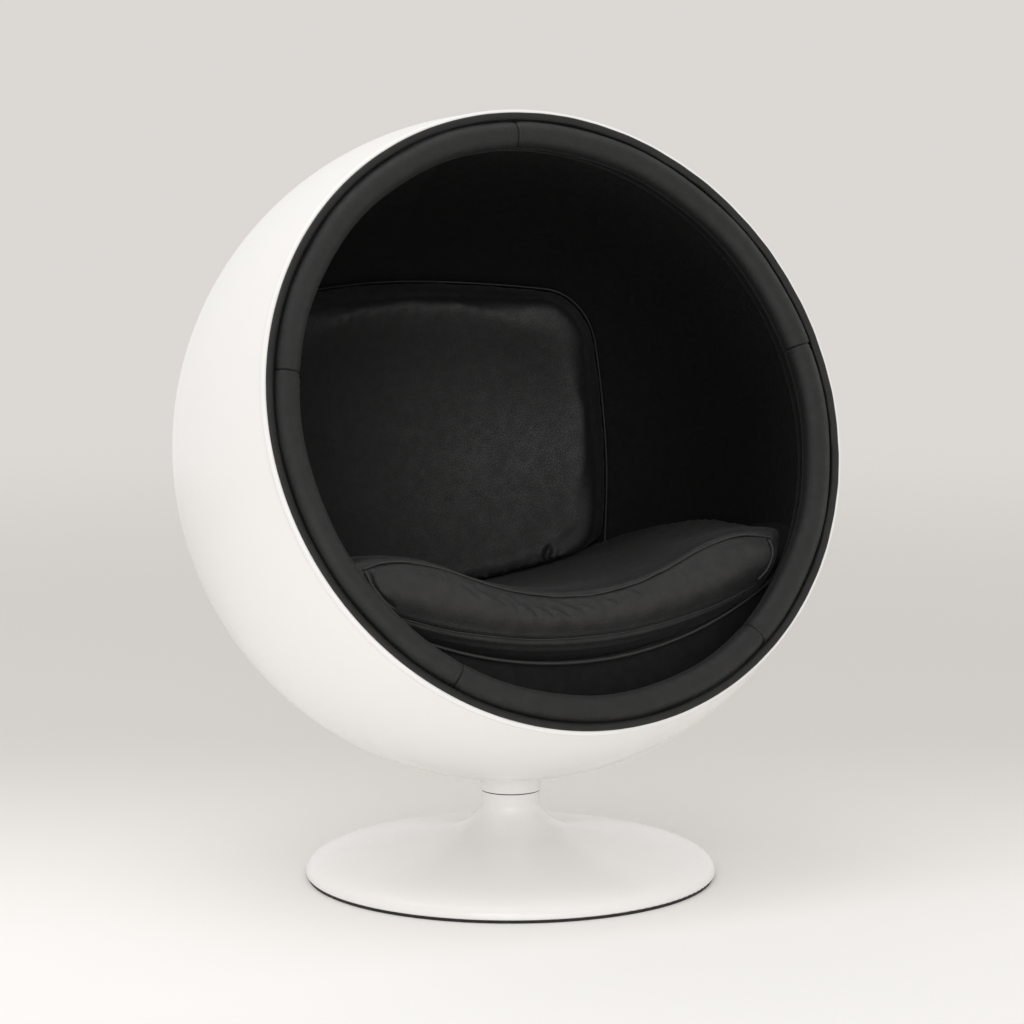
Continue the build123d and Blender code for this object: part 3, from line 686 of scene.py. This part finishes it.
def drawn(name, line):
    """A curve straight from point to point of a line."""
    curve = bpy.data.curves.new(name, "CURVE")
    curve.dimensions = "3D"
    spline = curve.splines.new("POLY")
    spline.points.add(len(line) - 1)
    for knot, point in zip(spline.points, line):
        knot.co = (*point, 1)
    holder = bpy.data.objects.new(name, curve)
    bpy.context.collection.objects.link(holder)
    bpy.ops.object.select_all(action="DESELECT")
    return holder


def piped(name, line, radius):
    """A thin corded welt along a line."""
    welt = drawn(name, line)
    welt.data.bevel_depth = radius
    welt.data.bevel_resolution = 3
    welt.data.use_fill_caps = True
    welt.select_set(True)
    bpy.context.view_layer.objects.active = welt
    bpy.ops.object.convert(target="MESH")
    bpy.ops.object.shade_smooth()
    return bpy.context.object


def stitched(name, line, surface):
    """A row of thread stitches along a line on a surface."""
    pitch = 0.0052
    length = 0.0036
    thickness = 0.00042
    guide = drawn(name, laid_on(line, surface, thickness / 2))
    bpy.ops.mesh.primitive_uv_sphere_add(segments=6, ring_count=5, radius=thickness)
    row = bpy.context.object
    row.name = name
    bpy.ops.object.mode_set(mode="EDIT")
    bpy.ops.mesh.select_all(action="SELECT")
    bpy.ops.transform.resize(value=(length / 2 / thickness, 1, 1))
    bpy.ops.transform.translate(value=(pitch / 2, 0, 0))
    bpy.ops.object.mode_set(mode="OBJECT")
    bpy.ops.object.shade_smooth()
    copies = row.modifiers.new("copies", "ARRAY")
    copies.fit_type = "FIT_CURVE"
    copies.curve = guide
    copies.use_relative_offset = False
    copies.use_constant_offset = True
    copies.constant_offset_displace = (pitch, 0, 0)
    bend = row.modifiers.new("bend", "CURVE")
    bend.object = guide
    bpy.ops.object.modifier_apply(modifier="copies")
    bpy.ops.object.modifier_apply(modifier="bend")
    bpy.data.objects.remove(guide)
    return row


def surface_of(piece):
    """A piece's surface, to lay other pieces on."""
    return BVHTree.FromObject(piece, bpy.context.evaluated_depsgraph_get())


top_seam = smooth_line(mirrored([(x, v, seat_seam_offset) for x, v in seat_seam_points]))
lower_seam = []
for step in range(61):
    x = lower_seam_half * (step / 30 - 1)
    v = lower_seam_middle + lower_seam_bend - math.sqrt(lower_seam_bend**2 - x**2)
    lower_seam.append((x, v, lower_seam_offset))
lower_seam = np.array(lower_seam)
end_seams = []
for side in (-1, 1):
    end_seams.append(smooth_line([
        (side * 0.3525, -0.206, lower_seam_offset),
        (side * 0.3455, -0.24, lower_seam_offset),
        (side * 0.3215, -0.275, lower_seam_offset),
    ]))


def seat_moves(places, ways):
    """The front panel swells. The top stays flat under the sitter."""
    return (ways[:, 2] > 0.35) & (places[:, 1] > -0.345)


seams = [top_seam, lower_seam, *end_seams]
seat = plumped("seat_cushion", "seat_pad", opening, 0.010, 0.012, seams, seat_moves, 6)
top_pull = np.array((0, 0.0015, -0.013))
lower_pull = np.array((0, 0, -0.020))
places = read_points(seat)
facing_out = np.clip((places[:, 2] - 0.10) / 0.05, 0, 1)
seam_height = np.interp(places[:, 0], lower_seam[:, 0], lower_seam[:, 1])
under = np.clip((seam_height - places[:, 1]) / 0.025, 0, 1)
top_share = np.exp(-((near_line(places, top_seam)[0] / top_seam_reach) ** 2))
lower_share = np.exp(-((near_line(places, lower_seam)[0] / lower_seam_reach) ** 2))
lower_share = np.maximum(lower_share, under) * facing_out
places = places + top_share[:, None] * top_pull + lower_share[:, None] * lower_pull
places[:, 2] -= under * facing_out * front_tuck
write_points(seat, places)
top_seam = top_seam + top_pull
lower_seam = lower_seam + lower_pull
gathers = (
    (-0.199, -0.236, -0.174, -0.274, 0.0036),
    (-0.176, -0.238, -0.123, -0.289, 0.0056),
    (-0.142, -0.255, -0.112, -0.294, 0.0044),
    (-0.112, -0.262, -0.082, -0.307, 0.0060),
    (-0.086, -0.270, -0.055, -0.308, 0.0052),
    (-0.066, -0.270, -0.023, -0.312, 0.0058),
    (-0.034, -0.270, -0.001, -0.303, 0.0046),
    (-0.010, -0.268, 0.020, -0.295, 0.0040),
    (0.040, -0.264, 0.060, -0.290, 0.0028),
    (0.086, -0.255, 0.104, -0.284, 0.0024),
)
for x, v, end_x, end_v, depth in gathers:
    middle = ((x + end_x) / 2 + 0.004, (v + end_v) / 2 + 0.002, 0.183)
    fold = smooth_line([(x, v, 0.181), middle, (end_x, end_v, 0.184)])
    press(seat, laid_on(fold, surface_of(seat)), depth, 0.0038)
for seam in (top_seam, lower_seam, *end_seams):
    depth = lower_seam_depth if seam is lower_seam else seam_depth
    press(seat, laid_on(seam, surface_of(seat)), depth, 0.0035, taper=0.05)
seat_surface = surface_of(seat)
thread = Finish("black_thread", (0.03, 0.03, 0.031), Roughness=0.42)
thread.relief(thread.noise(2600, detail=1.0), 0.0002, 0.4)

welt_lines = (
    ("seat_welt_top", top_seam, 0.0019),
    ("seat_welt_lower", lower_seam, 0.0015),
    ("seat_welt_left", end_seams[0], 0.0021),
    ("seat_welt_right", end_seams[1], 0.0021),
)
for name, seam, radius in welt_lines:
    hand_over(piped(name, laid_on(seam, seat_surface, radius * 0.9, 12), radius), welt_hide_painted_highlight, opening)
for name, seam, shift in (
    ("seat_stitches_top", top_seam, (0, -0.0065, 0)),
    ("seat_stitches_lower", lower_seam, (0, 0.0055, 0.002)),
    ("seat_stitches_under", lower_seam, (0, -0.0055, -0.002)),
):
    hand_over(stitched(name, seam + shift, seat_surface), thread, opening)
hand_over(seat, cushion_hide, opening, "seat_cushion")

# ---------------------------------------------------------------- front panel and its welt
# A curved panel under the seat, covered in leather, with a corded welt along its top. It
# closes the space under the deck.

fascia = even_copy("seat_fascia", "under_seat_panel", Matrix.Identity(4), 0.0035, 6)
bpy.ops.object.shade_smooth()
# The panel takes the lining's darkened leather: painted shade under the seat.
hand_over(fascia, lining_hide_painted_shade, Matrix.Identity(4), "seat_fascia")

welt_low, welt_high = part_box("deck_welt")
welt_radius = 0.003
welt_bend = 0.673
welt_sides = 12
welt_half = (welt_high[0] - welt_low[0]) / 2 - welt_radius * 0.7
welt_half_turn = math.degrees(math.asin(welt_half / welt_bend))
welt_front = opening.inverted() @ Vector((0, welt_low[1] + welt_radius, welt_low[2] + welt_radius))
welt_outline = round_section(welt_bend, 0, welt_radius, welt_sides)
deck_welt = spun("panel_welt", welt_outline, -90 - welt_half_turn, 2 * welt_half_turn, 420)
places = read_points(deck_welt)
angles = np.arctan2(places[:, 1], places[:, 0])
around = np.arctan2(places[:, 2], np.hypot(places[:, 0], places[:, 1]) - welt_bend)
places[:, 2] -= wrinkles(angles * welt_bend, around, 71, 0.012, 0.00025)
write_points(deck_welt, places)
welt_home = opening @ Matrix.Translation((0, welt_front.y + welt_bend, welt_front.z))
hand_over(deck_welt, welt_hide_painted_highlight, welt_home, "deck_welt")

# ---------------------------------------------------------------- back cushion
# A thick pad with a front panel, boxed sides and a thin welt where the boxing meets the
# lining. The panel is gathered into its seam along the top.

cabin = 0.4903
back_top = 0.2435
back_top_draw = 0.44
back_low = -0.455
back_top_half_width = 0.482
back_low_half_width = 0.580
back_corner = 0.149
corner_steps = 8
panel_reach = 0.4435
panel_shift = 0.051
panel_shrink = 0.014
welt_reach = 0.4848
welt_rise = 0.003
border_width = 0.03
border_lift = 0.008
crease_width = 0.006


def back_layer(size, shrink):
    """The back cushion's outline on an upright plane, as a share of the way to the lining."""
    top_x, low_x = back_top_half_width * size - shrink, back_low_half_width * size - shrink
    top_z, low_z = back_top * (1 - back_top_draw * (1 - size)) - shrink, back_low * size
    lean = math.atan2(low_x - top_x, top_z - low_z)
    turn = math.pi / 2 - lean
    corner = back_corner * size
    tangent = corner * math.tan(turn / 2)
    side = [(low_x + (top_x - low_x) * share, low_z + (top_z - low_z) * share) for share in (0.10, 0.45)]
    for step in range(corner_steps + 1):
        bend = lean + turn * step / corner_steps
        side.append((top_x - tangent + corner * math.cos(bend), top_z - corner + corner * math.sin(bend)))
    return [(x, cabin * size, z) for x, z in mirrored([*side, (0, top_z)])]


def back_border(reach, shift=0.0, shrink=0.0):
    """The outline where it meets a ball of that reach, struck from a point before the centre."""
    layers = np.array([back_layer(size, shrink) for size in np.linspace(0.5, 1.05, 111)])
    spread = np.linalg.norm(layers + (0, shift, 0), axis=2)
    border = []
    for number in range(layers.shape[1]):
        knot = layers[:, number]
        border.append([np.interp(reach, spread[:, number], knot[:, axis]) for axis in range(3)])
    return smooth_line(border)


upright = Matrix.Translation(ball_centre)


def back_moves(places, ways):
    """The front panel and the boxing swell. The rear and the foot rest on others."""
    reach = np.linalg.norm(places, axis=1)
    return (reach < 0.474) & (ways[:, 2] > -0.6) & ((places[:, 2] > -0.17) | (ways[:, 1] < -0.3))


front_border = back_border(panel_reach, panel_shift, panel_shrink)
back = plumped("back_cushion", "back_pad", upright, 0.010, 0.0, [], back_moves, 10)
places = read_points(back)
near_border = np.exp(-((near_line(places, front_border)[0] / border_width) ** 2))
outward = places * (1, 0, 1) - (0, 0, -0.1)
outward /= np.maximum(np.linalg.norm(outward, axis=1), 0.1)[:, None]
write_points(back, places + outward * near_border[:, None] * border_lift)
pleats = 16
pleat_chance = random.Random(9)
top_run = front_border[len(front_border) // 4 : -len(front_border) // 4]
for number in range(pleats):
    index = int((number + pleat_chance.uniform(0.1, 0.9)) / pleats * (len(top_run) - 1))
    start = Vector(top_run[index])
    drop = pleat_chance.uniform(0.018, 0.05)
    inward = (Vector((0.0, start.y, -0.02)) - start).normalized() * drop
    fold = np.array([(start + inward * share / 6)[:] for share in range(7)])
    press(back, laid_on(fold, surface_of(back)), pleat_chance.uniform(0.0002, 0.0006), 0.007)
corner_creases = (
    ((0.221, 0.272, -0.206), (0.2127, 0.2714, -0.2311), (0.208, 0.262, -0.250), 0.005),
    ((0.240, 0.268, -0.214), (0.226, 0.268, -0.232), (0.213, 0.262, -0.250), 0.004),
    ((-0.2015, 0.3437, -0.0072), (-0.1658, 0.3597, -0.019), (-0.1298, 0.3718, -0.0306), 0.0018),
)
for start, middle, end, depth in corner_creases:
    press(back, laid_on(smooth_line([start, middle, end]), surface_of(back)), depth, crease_width)
to_seat = opening.inverted() @ upright
rear_welt = []
for point in back_border(welt_reach, shrink=-welt_rise):
    beside = to_seat @ Vector(point)
    place, way = seat_surface.find_nearest(beside)[:2]
    if (beside - place).dot(way) > welt_rise:
        rear_welt.append(point)
hand_over(piped("back_welt", rear_welt, 0.0014), welt_hide_painted_highlight, upright)
hand_over(back, cushion_hide, upright, "back_cushion")

# ---------------------------------------------------------------- inside of the ball
# Birch plywood ring, bearers and block, bonded or screwed to the shell, with a deck stained
# black; grey foam glued in behind the lining; hook and loop behind the back cushion.

plywood = Finish("birch_plywood", (0.5, 0.36, 0.2), Roughness=0.6)
plies = plywood.node(
    "TexWave", {"bands_direction": "Z"}, "Fac", {"Vector": plywood.place(), "Scale": 110.0, "Distortion": 1.5}
)
figure = plies * 0.6 + plywood.noise(30, stretch=(1, 8, 1)) * 0.4
plywood.feed("Base Color", plywood.blended(figure, (0.56, 0.42, 0.25), (0.36, 0.23, 0.12)))
plywood.relief(plies, 0.0003, 0.4)
give_finish(["tacking_ring", "deck_bearer_left", "deck_bearer_right", "mounting_block"], plywood)

stained = Finish("black_stained_plywood", (0.006, 0.006, 0.006), Roughness=0.7)
stained.feed("Roughness", stained.spread(stained.noise(40, stretch=(1, 8, 1)), 0.3, 0.7, 0.6, 0.8))
stained.relief(stained.noise(90, detail=4.0, stretch=(1, 9, 1)), 0.0002, 0.4)
give_finish(["seat_deck"], stained)

foam = Finish("grey_foam", (0.3, 0.3, 0.31), Roughness=0.95)
cells = foam.node(
    "TexVoronoi", {"feature": "DISTANCE_TO_EDGE"}, "Distance", {"Vector": foam.place(), "Scale": 700.0}
)
walls = foam.spread(cells, 0, 0.1, 0, 1)
foam.feed("Base Color", foam.blended(walls, (0.12, 0.12, 0.125), (0.32, 0.32, 0.33)))
foam.relief(cells, 0.0008, 0.6)
give_finish([name for name in nodes if name.startswith("lining_foam")], foam)

hooks = Finish("black_hooks", (0.014, 0.014, 0.014), Roughness=0.8, Sheen_Weight=0.3)
hooks.relief(hooks.noise(1500, detail=2.0), 0.0009, 0.8)
give_finish(["back_strip_left", "back_strip_right"], hooks)

# ---------------------------------------------------------------- swivel
# A turned steel spindle that stands on a ball bearing and runs in nylon bushes, held by a
# nut below and bolted above through the block.

steel = Finish("turned_steel", (0.46, 0.46, 0.47), Metallic=1.0, Roughness=0.34)
lathe = steel.node(
    "TexWave", {"bands_direction": "Z"}, "Fac", {"Vector": steel.place(), "Scale": 900.0, "Distortion": 0.6}
)
steel.feed("Roughness", steel.spread(steel.noise(60) * 0.6 + lathe * 0.4, 0.2, 0.8, 0.26, 0.46))
steel.relief(lathe, 0.00006, 0.5)
give_finish(["spindle", "spreader_plate", "flange_bolts", "bolt_washers"], steel)
give_finish(["retaining_washer", "retaining_nut", "bearing_tube"], steel)
bearing = Finish("bearing_steel", (0.62, 0.62, 0.64), Metallic=1.0, Roughness=0.1)
bearing.feed("Roughness", bearing.spread(bearing.noise(300), 0.3, 0.7, 0.06, 0.18))
give_finish(["upper_race", "lower_race", "bearing_balls"], bearing)

nylon = Finish("black_nylon", (0.012, 0.012, 0.012), Roughness=0.45)
nylon.feed("Roughness", nylon.spread(nylon.noise(120), 0.3, 0.7, 0.38, 0.55))
nylon.relief(nylon.noise(1400, detail=1.0), 0.0001, 0.4)
give_finish(["ball_cage", "upper_bush", "lower_bush", "glide_ring"], nylon)

# ---------------------------------------------------------------- pedestal
# A cast foot, flared like a trumpet and enamelled white, with its collar in the same
# enamel. A rubber ring, ballast and a felt pad lie under it.

white_enamel = Finish(
    "white_enamel", (0.885, 0.875, 0.86), Roughness=0.23, Coat_Weight=0.3, Coat_Roughness=0.1
)
scuffs = white_enamel.noise(9, detail=1.0)
white_enamel.feed("Roughness", white_enamel.spread(scuffs, 0.2, 0.8, 0.21, 0.25))
scuffed = white_enamel.spread(scuffs, 0.2, 0.8, 0, 1)
white_enamel.feed("Base Color", white_enamel.blended(scuffed, (0.888, 0.878, 0.864), (0.882, 0.871, 0.856)))
white_enamel.relief(white_enamel.noise(300, detail=1.0), 0.00006, 0.08)
give_finish(["pedestal", "collar"], white_enamel)

rubber = Finish("black_rubber", (0.012, 0.012, 0.012), Roughness=0.7)
rubber.feed("Roughness", rubber.spread(rubber.noise(90), 0.3, 0.7, 0.6, 0.8))
rubber.relief(rubber.noise(900), 0.0002, 0.5)
give_finish(["edge_ring"], rubber)

plate = Finish("rolled_plate", (0.09, 0.09, 0.095), Metallic=0.9, Roughness=0.5)
plate.feed("Roughness", plate.spread(plate.noise(40, detail=5.0), 0.3, 0.7, 0.4, 0.65))
plate.relief(plate.noise(260, detail=3.0), 0.0002, 0.5)
give_finish(["ballast_plate", "ballast_screws"], plate)

felt = Finish("grey_felt", (0.05, 0.05, 0.052), Roughness=0.95, Sheen_Weight=0.4)
felt.relief(felt.noise(700, detail=4.0, roughness=0.7), 0.0012, 0.8)
give_finish(["floor_pad"], felt)
